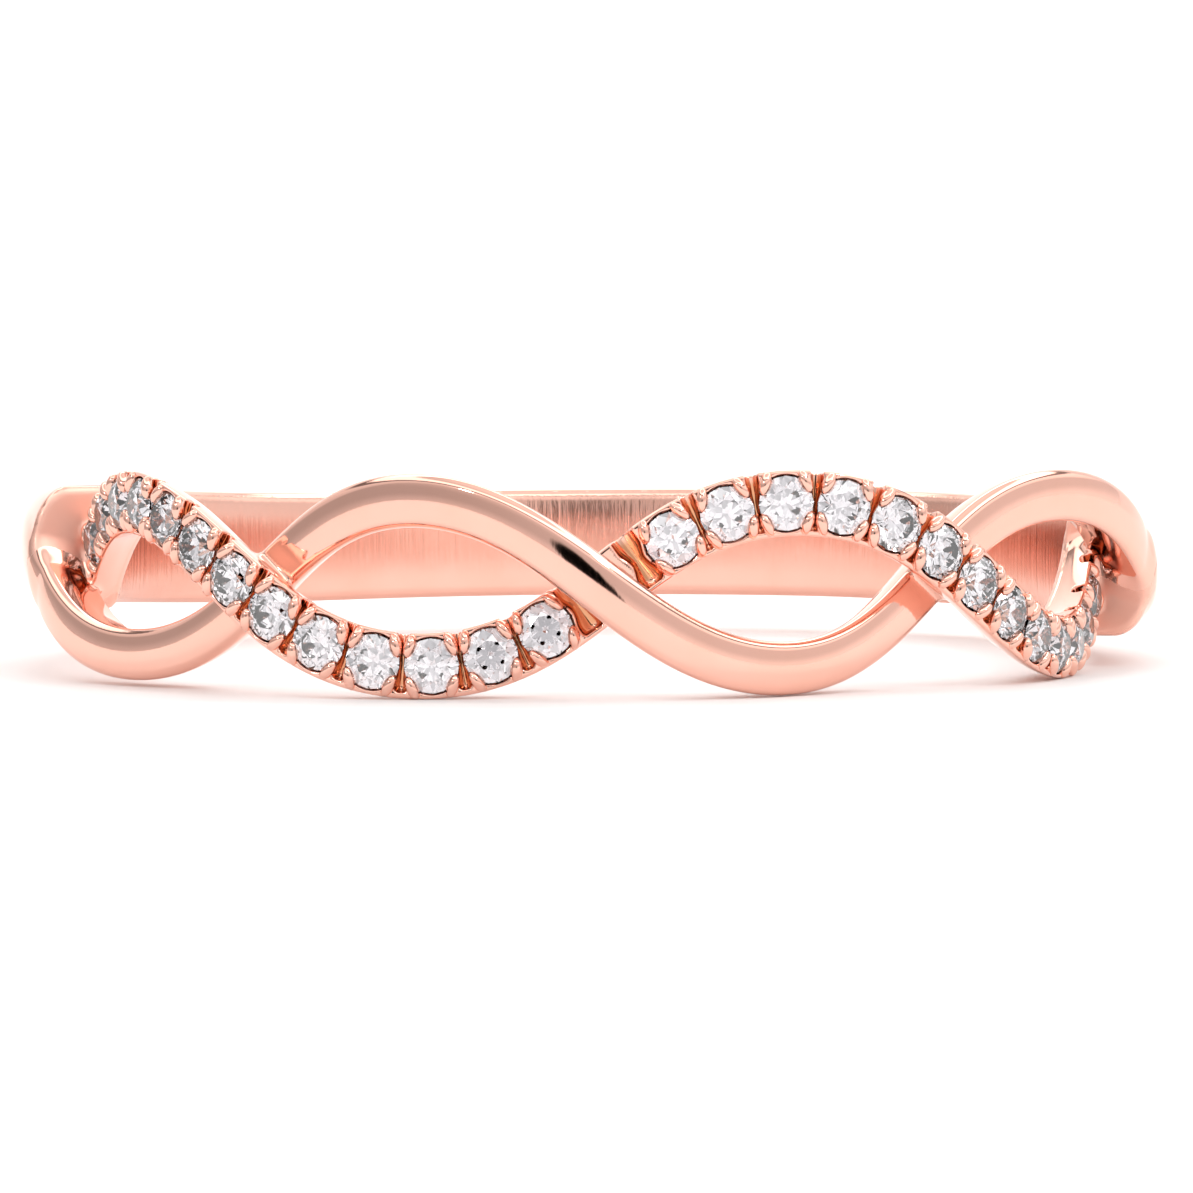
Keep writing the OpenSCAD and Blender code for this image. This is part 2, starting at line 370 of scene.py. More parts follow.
class Gold:
    """The distance field of the band.

    Points are given by the angle round the finger, the radius and the height.
    """

    TOP_DOME = 1.3
    PLAIN_EDGE = 0.15
    RIM_EDGE = 0.055
    KEEL_EDGE = 0.1
    FILLET = 0.16
    SHANK_FILLET = 0.36
    SHANK_END_EDGE = 0.12
    COMFORT = 0.08
    END_EDGE = 0.06
    HOLE_EDGE = 0.035
    SHANK_EDGE = 0.14
    SEAT_EDGE = 0.03
    FLANK_FROM = 0.3
    FLANK_SHARE = 0.22
    RIM_FLANK_SHARE = 0.28
    DOME_DEPTH = 0.68
    STRAND_DROP = 0.012
    SHANK_DROP = 0.019
    LEDGE = 0.12
    GROOVE_UP = 0.62
    GROOVE_DOWN = 0.43
    GROOVE_END = 0.08
    WAIST = 0.6
    SCOOP_AT = 0.3
    # Depth below the uncut set strand at which the painted shade in seats and grooves begins, and over which
    # it comes in fully
    GROOVE_SHADE_FROM = 0.03
    GROOVE_SHADE_DEPTH = 0.16
    MATT_REACH = 3
    MATT_FROM = 0.4
    MATT_SPAN = 0.4
    CUT_ABOVE = 0.5
    CUT_BELOW = 0.9
    CUT_SIDE = 0.4

    def __init__(self, weave):
        self.weave = weave

    def strand(self, u, d, half_w, flank_share, top, top_edge):
        """A strand's section: a top, upright sides, flanks that draw in below them, and an inner side."""
        t = self.weave.ring.strand_t
        drawn_in = half_w * (1 - flank_share)
        run = t - self.FLANK_FROM
        slant = math.hypot(drawn_in, run)
        flank = ((u - half_w) * run + (d - self.FLANK_FROM) * drawn_in) / slant
        upper = round_max(top, u - half_w, top_edge)
        lower = round_max(flank, d - t, self.KEEL_EDGE)
        return round_max(upper, lower, self.KEEL_EDGE)

    def plain(self, th, r, z):
        w = self.weave
        near_th = np.clip(th, -w.last_cross, w.last_cross)
        u = np.abs(z - w.plain_z(th)) / w.stretch(near_th)
        d = w.plain_level(th) - self.STRAND_DROP - r
        top = -d + u * u / (2 * self.TOP_DOME)
        body = self.strand(u, d, w.ring.plain_w / 2, self.FLANK_SHARE, top, self.PLAIN_EDGE)
        past = (np.abs(th) - w.last_cross - RUN_ON) * np.radians(r)
        return round_max(body, past, self.END_EDGE)

    def set_blank(self, th, r, z):
        """The set strand before its seats and grooves are cut."""
        w = self.weave
        u = np.abs(z - w.set_z(th)) / w.stretch(th)
        d = w.set_level(th) - r
        body = self.strand(u, d, w.ring.set_w / 2, self.RIM_FLANK_SHARE, self.LEDGE - d, self.RIM_EDGE)
        past = (np.abs(th) - w.last_cross) * np.radians(r)
        return round_max(body, past, self.END_EDGE)

    def set_with_stones(self, th, r, z):
        w = self.weave
        s = w.setting
        x, y = r * sind(th), -r * cosd(th)
        u = np.abs(z - w.set_z(th)) / w.stretch(th)
        d = w.set_level(th) - r
        body = self.set_blank(th, r, z)
        beside = u < w.ring.set_w / 2 + self.CUT_SIDE
        near = np.nonzero((d > -self.CUT_ABOVE) & (d < self.CUT_BELOW) & beside)[0]
        th, x, y, z, top = th[near], x[near], y[near], z[near], body[near]
        seat_r = s.stone_d / 2 + s.seat_gap
        cone_h = POINT_SHARE * s.stone_d + s.seat_gap
        tip = -s.girdle_drop - GIRDLE_SHARE * s.stone_d / 2 - s.seat_gap - cone_h
        cone = math.atan2(seat_r, cone_h)
        for at_th, at, axes in w.stones:
            i = np.nonzero(np.abs(th - at_th) < NEAR)[0]
            a, b, c = self.local(at, axes, x[i], y[i], z[i])
            rho = np.hypot(a, b)
            hole = np.maximum(rho - seat_r, rho * math.cos(cone) - (c - tip) * math.sin(cone))
            top[i] = round_max(top[i], -hole, self.SEAT_EDGE)
        for at_th, at, axes, width in w.notches:
            i = np.nonzero(np.abs(th - at_th) < NEAR)[0]
            a, b, c = self.local(at, axes, x[i], y[i], z[i])
            scoop_r = width / 2 * (self.WAIST + (1 - self.WAIST) * ease(np.abs(b) / self.SCOOP_AT))
            floor_c = -s.notch_h + scoop_r
            groove = np.hypot(a, np.minimum(c - floor_c, 0)) - scoop_r
            groove = round_max(groove, np.maximum(b - self.GROOVE_UP, -b - self.GROOVE_DOWN), self.GROOVE_END)
            top[i] = round_max(top[i], -groove, self.SEAT_EDGE)
        body[near] = top
        return body

    @staticmethod
    def local(at, axes, x, y, z):
        dx, dy, dz = x - at[0], y - at[1], z - at[2]
        return [axis[0] * dx + axis[1] * dy + axis[2] * dz for axis in axes]

    def shank(self, th, r, z):
        w = self.weave
        half_w = w.ring.shank_w / 2
        across = z - w.shank_z(th)
        depth = self.DOME_DEPTH
        rise = np.maximum(r - w.shank_level(th) + self.SHANK_DROP + depth, 0) / depth
        dome = (np.hypot(across / half_w, rise) - 1) * depth
        hole = w.finger_r + self.COMFORT * (across / half_w) ** 2 - r
        body = round_max(dome, hole, self.SHANK_EDGE)
        before = (w.shank_start - np.abs(th)) * np.radians(r)
        return round_max(body, before, self.SHANK_END_EDGE)

    def bored(self, metal, r):
        """The metal without what lies in the finger hole."""
        return round_max(metal, self.weave.finger_r - r, self.HOLE_EDGE)

    def shade_and_finish_masks(self, name, points):
        """Masks from 0 to 1: painted shade in the set strand's seats and grooves, by their depth, and matt
        metal on the shank's end walls.
        """
        th, r, z = from_xyz(points)
        if name == "set_strand":
            # Painted shade: the deeper a point lies in a seat or groove below the uncut strand, the darker
            # its colour; it fades out at the finger hole's wall.
            cut_in = ease((-self.set_blank(th, r, z) - self.GROOVE_SHADE_FROM) / self.GROOVE_SHADE_DEPTH)
            off_finger = ease((r - self.weave.finger_r) / self.GROOVE_SHADE_DEPTH)
            return {"groove_shade": cut_in * off_finger}
        if name == "shank":
            near_end = np.abs(th) < self.weave.shank_start + self.MATT_REACH
            facing = np.abs(slope(self.shank, th, r, z)[0])
            return {"matt": near_end * ease((facing - self.MATT_FROM) / self.MATT_SPAN)}
        return {}

    def pieces(self):
        return {"plain_strand": self.plain, "set_strand": self.set_with_stones, "shank": self.shank}

    def beside(self, name, th, r, z):
        """The field of the other pieces alone."""
        return np.minimum.reduce([made(th, r, z) for key, made in self.pieces().items() if key != name])

    def __call__(self, th, r, z):
        metal = round_min(self.plain(th, r, z), self.shank(th, r, z), self.SHANK_FILLET)
        metal = round_min(metal, self.set_with_stones(th, r, z), self.FILLET)
        return self.bored(metal, r)


def slope(field, th, r, z, step=0.004):
    """A field's slope round the finger, outwards and upwards, for each millimetre."""
    turn = np.degrees(step / r)
    round_it = (field(th + turn, r, z) - field(th - turn, r, z)) / (2 * step)
    outwards = (field(th, r + step, z) - field(th, r - step, z)) / (2 * step)
    upwards = (field(th, r, z + step) - field(th, r, z - step)) / (2 * step)
    return round_it, outwards, upwards


# Lanes: a grid that follows each piece of metal along, from its crown inwards, and across


MARGIN = 0.09
PLAIN_STEP = 0.36
PLAIN_CELL = 0.052
SET_CELL = 0.036
SET_FINE_TO = 0.56
SET_FLANK_CELL = 0.09
SHANK_STEP = 1.6
SHANK_CELL = 0.06


def even(low, high, cell):
    return np.linspace(low, high, round((high - low) / cell) + 1)


def whole_turn(th):
    return (th + 180) % 360 - 180


def plain_lane(weave):
    end = weave.last_cross + RUN_ON + 1
    half = weave.ring.plain_w / 2 + MARGIN

    def place(along, depth, across):
        near = np.clip(along, -weave.last_cross, weave.last_cross)
        return along, weave.plain_level(along) - depth, weave.plain_z(along) + across * weave.stretch(near)

    depths = even(-MARGIN, weave.ring.strand_t + MARGIN, PLAIN_CELL)
    return place, (even(-end, end, PLAIN_STEP), depths, even(-half, half, PLAIN_CELL))


def set_lane(weave):
    end = np.interp(weave.last_cross + 1, weave.angles, weave.lengths)
    half = weave.ring.set_w / 2 + MARGIN
    fine = even(Gold.LEDGE - MARGIN, SET_FINE_TO, SET_CELL)
    flank = even(SET_FINE_TO, weave.ring.strand_t + MARGIN, SET_FLANK_CELL)

    def place(along, depth, across):
        return along, weave.set_level(along) - depth, weave.set_z(along) + across * weave.stretch(along)

    along = weave.angle_at(even(-end, end, SET_CELL))
    return place, (along, np.concatenate([fine, flank[1:]]), even(-half, half, SET_CELL))


def shank_lane(weave):
    half = weave.ring.shank_w / 2 + MARGIN
    thickest = max(weave.ring.shank_t, weave.ring.crown_h) + MARGIN

    def place(along, depth, across):
        th = whole_turn(along)
        return th, weave.finger_r - depth, weave.shank_z(th) + across

    along = even(weave.shank_start - 1, 361 - weave.shank_start, SHANK_STEP)
    return place, (along, even(-thickest, MARGIN, SHANK_CELL), even(-half, half, SHANK_CELL))


# A skin on a field


CORNERS = [(i, j, k) for i in (0, 1) for j in (0, 1) for k in (0, 1)]
EVEN_ROUNDS = 3
SETTLE_REACH = 0.05
LEAST_STEEP = 0.2
BURIED = 0.14


def skin(own, place, axes):
    """One vertex in each grid cell that the surface passes through, and a quad for each edge that it cuts."""
    shape = tuple(len(line) for line in axes)
    grid = np.meshgrid(*axes, indexing="ij")
    value = own(*place(*(corner.ravel() for corner in grid))).reshape(shape)
    inside = value < 0
    block = {c: tuple(slice(o, n - 1 + o) for o, n in zip(c, shape)) for c in CORNERS}
    counted = sum(inside[block[c]].astype(np.int8) for c in CORNERS)
    cells = np.argwhere((counted > 0) & (counted < 8))
    number = np.full(counted.shape, -1, dtype=np.int64)
    number[tuple(cells.T)] = np.arange(len(cells))
    total = np.zeros((len(cells), 3))
    crossings = np.zeros(len(cells))
    for low in CORNERS:
        for axis in range(3):
            if low[axis]:
                continue
            high = tuple(1 if n == axis else v for n, v in enumerate(low))
            a, b = value[tuple((cells + low).T)], value[tuple((cells + high).T)]
            cut = (a < 0) != (b < 0)
            share = np.where(cut, a / np.where(cut, a - b, 1), 0)
            spot = np.array(low, dtype=float) + share[:, None] * np.eye(3)[axis]
            total += spot * cut[:, None]
            crossings += cut
    index = cells + total / crossings[:, None]
    spots = [np.interp(index[:, n], np.arange(len(line)), line) for n, line in enumerate(axes)]
    return place(*spots), quads(inside, number)


def quads(inside, number):
    """The four cells round each cut edge, in the order that turns the face outwards."""
    faces = []
    for axis in range(3):
        first, second = [n for n in range(3) if n != axis]
        a = [slice(None)] * 3
        b = [slice(None)] * 3
        a[axis] = slice(0, inside.shape[axis] - 1)
        b[axis] = slice(1, inside.shape[axis])
        out_in = inside[tuple(a)].astype(np.int8) - inside[tuple(b)].astype(np.int8)
        edges = np.argwhere(out_in != 0)
        sign = out_in[tuple(edges.T)]
        corners = []
        for d1, d2 in ((1, 1), (0, 1), (0, 0), (1, 0)):
            cell = edges.copy()
            cell[:, first] -= d1
            cell[:, second] -= d2
            corners.append(number[tuple(cell.T)])
        quad = np.stack(corners, axis=1)
        flip = sign < 0 if axis != 1 else sign > 0
        quad[flip] = quad[flip][:, ::-1]
        faces.append(quad)
    return np.concatenate(faces)


def to_xyz(th, r, z):
    return np.stack([r * sind(th), -r * cosd(th), z], axis=1)


def from_xyz(points):
    x, y, z = points.T
    return np.degrees(np.arctan2(x, -y)), np.hypot(x, y), z


def evened(points, faces):
    """Each vertex moved to the middle of those that it shares an edge with."""
    ends = np.concatenate([faces[:, [n, (n + step) % 4]] for n in range(4) for step in (1, 3)])
    here, there = ends.T
    count = np.bincount(here, minlength=len(points))
    total = [np.bincount(here, points[there, axis], len(points)) for axis in range(3)]
    return np.stack(total, axis=1) / count[:, None]


def settle_on(field, points, rounds):
    """Moves the points onto the surface, the short way."""
    th, r, z = from_xyz(points)
    for _ in range(rounds):
        round_it, outwards, upwards = slope(field, th, r, z)
        steep = round_it**2 + outwards**2 + upwards**2
        move = np.clip(-field(th, r, z) / np.maximum(steep, LEAST_STEEP), -SETTLE_REACH, SETTLE_REACH)
        th = whole_turn(th + np.degrees(move * round_it / r))
        r = r + move * outwards
        z = z + move * upwards
    return to_xyz(th, r, z)


def outward(field, points):
    th, r, z = from_xyz(points)
    round_it, outwards, upwards = slope(field, th, r, z)
    along_x = round_it * cosd(th) + outwards * sind(th)
    along_y = round_it * sind(th) - outwards * cosd(th)
    normal = np.stack([along_x, along_y, upwards], axis=1)
    return normal / np.maximum(np.linalg.norm(normal, axis=1), 1e-9)[:, None]


def new_object(name, mesh):
    obj = bpy.data.objects.new(name, mesh)
    bpy.context.scene.collection.objects.link(obj)
    return obj


def metal_object(weave, name, lane):
    """One piece of the gold as a skin, which rises onto the fillets where it meets the others."""
    gold = Gold(weave)
    made = gold.pieces()[name]

    def own(th, r, z):
        return gold.bored(made(th, r, z), r)

    spots, faces = skin(own, *lane(weave))
    points = settle_on(own, to_xyz(*spots), 2)
    for _ in range(EVEN_ROUNDS):
        points = settle_on(own, evened(points, faces), 1)
    points = settle_on(own, points, 2)
    share = ease(1 + gold.beside(name, *from_xyz(points)) / BURIED)
    points += share[:, None] * (settle_on(gold, points, 5) - points)
    mesh = bpy.data.meshes.new(name)
    mesh.from_pydata((points * MM).tolist(), [], faces.tolist())
    mesh.shade_smooth()
    mesh.normals_split_custom_set_from_vertices(outward(gold, points).tolist())
    # The masks stored here include the painted shade of the set strand's seats and grooves.
    for attribute, values in gold.shade_and_finish_masks(name, points).items():
        mesh.attributes.new(attribute, "FLOAT", "POINT").data.foreach_set("value", values)
    return new_object(name, mesh)


# Prongs, made by nodes on a cloud of points


def add_socket(tree, name, kind, value=None, out=False):
    socket = tree.interface.new_socket(name=name, in_out="OUTPUT" if out else "INPUT", socket_type=kind)
    if value is not None:
        socket.default_value = value
    return socket


def prong_tree(material):
    """A rounded tip at each point, turned as the point's attribute says, realized and given the metal."""
    tree = bpy.data.node_groups.new("prongs_on_points", "GeometryNodeTree")
    add_socket(tree, "Geometry", "NodeSocketGeometry")
    lengths = ("Length", "Width", "Thickness")
    sizes = {name: add_socket(tree, name, "NodeSocketFloat", 0.0001) for name in lengths}
    sizes["Sides"] = add_socket(tree, "Sides", "NodeSocketInt", 10)
    add_socket(tree, "Geometry", "NodeSocketGeometry", out=True)
    nodes, links = tree.nodes, tree.links
    start = nodes.new("NodeGroupInput")
    end = nodes.new("NodeGroupOutput")
    ball = nodes.new("GeometryNodeMeshUVSphere")
    ball.inputs["Radius"].default_value = 0.5
    ball.inputs["Rings"].default_value = 7
    links.new(start.outputs["Sides"], ball.inputs["Segments"])
    size = nodes.new("ShaderNodeCombineXYZ")
    links.new(start.outputs["Length"], size.inputs["X"])
    links.new(start.outputs["Width"], size.inputs["Y"])
    links.new(start.outputs["Thickness"], size.inputs["Z"])
    turn = nodes.new("GeometryNodeInputNamedAttribute")
    turn.data_type = "FLOAT_VECTOR"
    turn.inputs["Name"].default_value = "turn"
    place = nodes.new("GeometryNodeInstanceOnPoints")
    links.new(start.outputs["Geometry"], place.inputs["Points"])
    links.new(ball.outputs["Mesh"], place.inputs["Instance"])
    links.new(turn.outputs["Attribute"], place.inputs["Rotation"])
    links.new(size.outputs["Vector"], place.inputs["Scale"])
    smooth = nodes.new("GeometryNodeSetShadeSmooth")
    links.new(place.outputs["Instances"], smooth.inputs["Geometry"])
    real = nodes.new("GeometryNodeRealizeInstances")
    links.new(smooth.outputs["Geometry"], real.inputs["Geometry"])
    paint = nodes.new("GeometryNodeSetMaterial")
    paint.inputs["Material"].default_value = material
    links.new(real.outputs["Geometry"], paint.inputs["Geometry"])
    links.new(paint.outputs["Geometry"], end.inputs["Geometry"])
    return tree, sizes


PRONG_ALONG = 0.325
PRONG_ACROSS = 0.328
PRONG_OUT = -0.12
PRONG_TOE = 22
PRONG_LEAN = 8


def prong_points(weave):
    """A point for each prong at the corners of each seat, with its turn."""
    spots, turns = [], []
    toe, lean = math.radians(PRONG_TOE), math.radians(PRONG_LEAN)
    for _, at, (along, across, out) in weave.stones:
        for side_a in (-1, 1):
            for side_b in (-1, 1):
                spot = at + side_a * PRONG_ALONG * along + side_b * PRONG_ACROSS * across + PRONG_OUT * out
                inward = side_a * math.sin(toe) * along - side_b * math.cos(toe) * across
                x_axis = inward * math.cos(lean) + out * math.sin(lean)
                z_axis = out * math.cos(lean) - inward * math.sin(lean)
                y_axis = np.cross(z_axis, x_axis)
                spots.append(Vector(spot * MM))
                turns.append(Matrix(np.stack([x_axis, y_axis, z_axis], axis=1).tolist()).to_euler())
    mesh = bpy.data.meshes.new("prong_points")
    mesh.from_pydata(spots, [], [])
    attribute = mesh.attributes.new("turn", "FLOAT_VECTOR", "POINT")
    attribute.data.foreach_set("vector", [angle for turn in turns for angle in turn])
    return mesh


def made_by_nodes(name, mesh, tree, sizes, values):
    """The result of a node tree on a mesh, as a plain object."""
    source = new_object(name + "_source", mesh)
    modifier = source.modifiers.new("nodes", "NODES")
    modifier.node_group = tree
    for key, value in values.items():
        modifier[sizes[key].identifier] = value
    graph = bpy.context.evaluated_depsgraph_get()
    made = bpy.data.meshes.new_from_object(source.evaluated_get(graph), depsgraph=graph)
    made.name = name
    bpy.data.objects.remove(source)
    return new_object(name, made)


# Materials


def shader_group(name, ins, outs):
    """An empty shader node group with named sockets, its nodes, and its two ends."""
    tree = bpy.data.node_groups.new(name, "ShaderNodeTree")
    for socket, kind, value in ins:
        add_socket(tree, socket, kind, value)
    for socket, kind in outs:
        add_socket(tree, socket, kind, out=True)
    return tree, tree.nodes.new("NodeGroupInput"), tree.nodes.new("NodeGroupOutput")


def math_node(tree, operation, first, second=None, clamp=False):
    node = tree.nodes.new("ShaderNodeMath")
    node.operation = operation
    node.use_clamp = clamp
    for socket, value in zip(node.inputs, (first, second)):
        if value is None:
            continue
        if isinstance(value, (int, float)):
            socket.default_value = value
        else:
            tree.links.new(value, socket)
    return node.outputs[0]


def noise_node(tree, vector, scale, detail=2.0, rough=0.5):
    node = tree.nodes.new("ShaderNodeTexNoise")
    node.inputs["Scale"].default_value = scale
    node.inputs["Detail"].default_value = detail
    node.inputs["Roughness"].default_value = rough
    tree.links.new(vector, node.inputs["Vector"])
    return node.outputs["Fac"]


def range_node(tree, value, from_min, from_max, to_min, to_max):
    node = tree.nodes.new("ShaderNodeMapRange")
    limits = {"From Min": from_min, "From Max": from_max, "To Min": to_min, "To Max": to_max}
    for name, number in limits.items():
        node.inputs[name].default_value = number
    tree.links.new(value, node.inputs["Value"])
    return node.outputs["Result"]


def scaled_node(tree, vector, scale):
    node = tree.nodes.new("ShaderNodeVectorMath")
    node.operation = "MULTIPLY"
    tree.links.new(vector, node.inputs[0])
    node.inputs[1].default_value = scale
    return node.outputs[0]


# Metres beyond the wall of the finger hole over which the brushing fades out
BRUSHED_TO = 0.00009
BRUSHED_END = 0.00013


def brushed_group():
    """Fine upright scratches, as a finger hole has from its finishing: a mask and a height."""
    tree, start, end = shader_group(
        "brushed_upright",
        [("Vector", "NodeSocketVector", None), ("Wall Radius", "NodeSocketFloat", 0.00865)],
        [("Mask", "NodeSocketFloat"), ("Scratches", "NodeSocketFloat")],
    )
    vector = start.outputs["Vector"]
    flat = scaled_node(tree, vector, (1, 1, 0))
    length = tree.nodes.new("ShaderNodeVectorMath")
    length.operation = "LENGTH"
    tree.links.new(flat, length.inputs[0])
    beyond = math_node(tree, "SUBTRACT", length.outputs["Value"], start.outputs["Wall Radius"])
    mask = range_node(tree, beyond, BRUSHED_TO, BRUSHED_END, 1, 0)
    fine = noise_node(tree, scaled_node(tree, vector, (9000, 9000, 420)), 1.0, 3.0, 0.6)
    broad = noise_node(tree, scaled_node(tree, vector, (2600, 2600, 240)), 1.0, 2.0, 0.5)
    fine_part = math_node(tree, "MULTIPLY", fine, 0.6)
    broad_part = math_node(tree, "MULTIPLY", broad, 0.4)
    both = math_node(tree, "ADD", fine_part, broad_part)
    tree.links.new(mask, end.inputs["Mask"])
    tree.links.new(both, end.inputs["Scratches"])
    return tree


def handling_group():
    """What wearing and polishing leave on metal: a soft unevenness and fine random hairlines."""
    tree, start, end = shader_group(
        "handling_marks",
        [("Vector", "NodeSocketVector", None), ("Scale", "NodeSocketFloat", 1.0)],
        [("Unevenness", "NodeSocketFloat"), ("Hairlines", "NodeSocketFloat")],
    )
    scaled = tree.nodes.new("ShaderNodeVectorMath")
    scaled.operation = "SCALE"
    tree.links.new(start.outputs["Vector"], scaled.inputs[0])
    tree.links.new(start.outputs["Scale"], scaled.inputs["Scale"])
    uneven = noise_node(tree, scaled.outputs[0], 900, 3.0, 0.55)
    lines = noise_node(tree, scaled_node(tree, scaled.outputs[0], (7000, 1400, 2100)), 1.0, 2.0, 0.6)
    tree.links.new(uneven, end.inputs["Unevenness"])
    tree.links.new(lines, end.inputs["Hairlines"])
    return tree


def principled(name):
    material = bpy.data.materials.new(name)
    material.use_nodes = True
    return material, material.node_tree, material.node_tree.nodes["Principled BSDF"]


def group_node(tree, group):
    node = tree.nodes.new("ShaderNodeGroup")
    node.node_tree = group
    return node


def mix_colour(tree, factor, first, second):
    node = tree.nodes.new("ShaderNodeMix")
    node.data_type = "RGBA"
    tree.links.new(factor, node.inputs["Factor"])
    node.inputs["A"].default_value = (*first, 1)
    node.inputs["B"].default_value = (*second, 1)
    return node.outputs["Result"]


DULLED = 0.12
RUBBED_ROUGH = 0.14
CAST_ROUGH = 0.4
HAIRLINE_SHARE = 0.05
BUMP_STRENGTH = 0.8
BUMP_DEPTH = 0.00003


def gold_material(looks, finger_r):
    """Polished rose gold: brushed upright in the finger hole, softly uneven and scratched elsewhere, its
    colour darkened as painted shade in the set strand's seats and grooves.
    """
    material, tree, shader = principled("polished_rose_gold")
    place = tree.nodes.new("ShaderNodeTexCoord").outputs["Object"]
    brushed = group_node(tree, brushed_group())
    brushed.inputs["Wall Radius"].default_value = finger_r * MM
    tree.links.new(place, brushed.inputs["Vector"])
    handled = group_node(tree, handling_group())
    handled.inputs["Scale"].default_value = 1.0
    tree.links.new(place, handled.inputs["Vector"])
    uneven = handled.outputs["Unevenness"]
    mask = brushed.outputs["Mask"]
    # Painted shade: the set strand's seats and grooves take the darker gold colour by their depth, standing
    # in for the shade and deep reflections in them; random dulled patches take the same colour.
    groove_shade = tree.nodes.new("ShaderNodeAttribute")
    groove_shade.attribute_name = "groove_shade"
    dulled = range_node(tree, uneven, 0.4, 0.8, 0, DULLED)
    deep = math_node(tree, "MAXIMUM", groove_shade.outputs["Fac"], dulled)
    tree.links.new(mix_colour(tree, deep, looks.gold, looks.gold_shaded_and_dulled), shader.inputs["Base Color"])
    shader.inputs["Metallic"].default_value = 1
    polished = range_node(tree, uneven, 0.3, 0.7, looks.polish * 0.8, looks.polish * 1.3)
    matt = tree.nodes.new("ShaderNodeAttribute")
    matt.attribute_name = "matt"
    rubbed = math_node(tree, "MULTIPLY", mask, RUBBED_ROUGH)
    cast = math_node(tree, "MULTIPLY", matt.outputs["Fac"], CAST_ROUGH)
    rough = math_node(tree, "ADD", math_node(tree, "ADD", polished, rubbed), cast)
    tree.links.new(rough, shader.inputs["Roughness"])
    scratched = math_node(tree, "MULTIPLY", mask, brushed.outputs["Scratches"])
    fine = math_node(tree, "MULTIPLY", handled.outputs["Hairlines"], HAIRLINE_SHARE)
    bump = tree.nodes.new("ShaderNodeBump")
    bump.inputs["Strength"].default_value = BUMP_STRENGTH
    bump.inputs["Distance"].default_value = BUMP_DEPTH
    tree.links.new(math_node(tree, "ADD", scratched, fine), bump.inputs["Height"])
    tree.links.new(bump.outputs["Normal"], shader.inputs["Normal"])
    return material


def stone_material(looks):
    """A clear, strongly refracting stone with polished facets and a faint dust of polish on them."""
    material, tree, shader = principled("clear_brilliant")
    place = tree.nodes.new("ShaderNodeTexCoord").outputs["Object"]
    handled = group_node(tree, bpy.data.node_groups["handling_marks"])
    handled.inputs["Scale"].default_value = 2.2
    tree.links.new(place, handled.inputs["Vector"])
    deep = tuple(0.93 * channel for channel in looks.stone_tint)
    colour = mix_colour(tree, handled.outputs["Unevenness"], looks.stone_tint, deep)
    tree.links.new(colour, shader.inputs["Base Color"])
    rough = range_node(tree, handled.outputs["Hairlines"], 0.3, 0.8, 0.0, 0.03)
    tree.links.new(rough, shader.inputs["Roughness"])
    shader.inputs["Transmission Weight"].default_value = 1
    shader.inputs["IOR"].default_value = 2.42
    return material


def floor_material(looks_floor):
    """A pale board with the faintest grain."""
    material, tree, shader = principled("pale_board")
    place = tree.nodes.new("ShaderNodeTexCoord").outputs["Object"]
    grain = noise_node(tree, place, 350, 4.0, 0.6)
    darker = tuple(0.975 * channel for channel in looks_floor)
    tree.links.new(mix_colour(tree, grain, looks_floor, darker), shader.inputs["Base Color"])
    shader.inputs["Roughness"].default_value = 0.6
    return material


# The stage


RENDER_WIDTH = 1193
SENSOR = 36.0
FOCAL_PX = 4153.5
CENTRE_X = 587.8
CENTRE_Y = 560.28


def camera_back(stage):
    return Vector((0, -math.cos(stage.elevation), math.sin(stage.elevation)))


def camera_turn(stage):
    return Matrix.Rotation(-stage.turn, 3, "Z")


def add_camera(stage):
    """The camera at the photograph's angle, shifted so that the ring sits in the picture as it does there."""
    data = bpy.data.cameras.new("camera")
    data.sensor_width = SENSOR
    data.lens = FOCAL_PX * SENSOR / RENDER_WIDTH
    data.shift_x = -(CENTRE_X - RENDER_WIDTH / 2) / RENDER_WIDTH
    data.shift_y = (CENTRE_Y - RENDER_WIDTH / 2) / RENDER_WIDTH
    data.clip_start = 0.001
    data.clip_end = 10
    back = camera_back(stage)
    right = Vector((1, 0, 0))
    up = back.cross(right)
    axes = Matrix((right, up, back)).transposed() @ Matrix.Rotation(stage.roll, 3, "Z")
    placed = Matrix.Translation(back * stage.distance) @ axes.to_4x4()
    camera = new_object("camera", data)
    camera.matrix_world = camera_turn(stage).to_4x4() @ placed
    bpy.context.scene.camera = camera


# Width, height, place, watts, and the place that the lamp is turned toward
LAMPS = {
    "left_spark": (0.014, 0.014, (-0.11, -0.13, 0.09), 0.022, (0, 0, 0)),
    "right_spark": (0.012, 0.012, (0.1, -0.12, 0.13), 0.022, (0, 0, 0)),
    "back_box": (0.8, 0.4, (0.0, 0.45, 0.75), 2.2, (0, 0.9, 0.25)),
}


def add_lamp(name, width, height, at, watts, toward):
    """A rectangular lamp, turned toward a place."""
    data = bpy.data.lights.new(name, "AREA")
    data.shape = "RECTANGLE"
    data.size = width
    data.size_y = height
    data.energy = watts
    lamp = new_object(name, data)
    lamp.location = at
    lamp.rotation_euler = (Vector(toward) - Vector(at)).to_track_quat("-Z", "Y").to_euler()


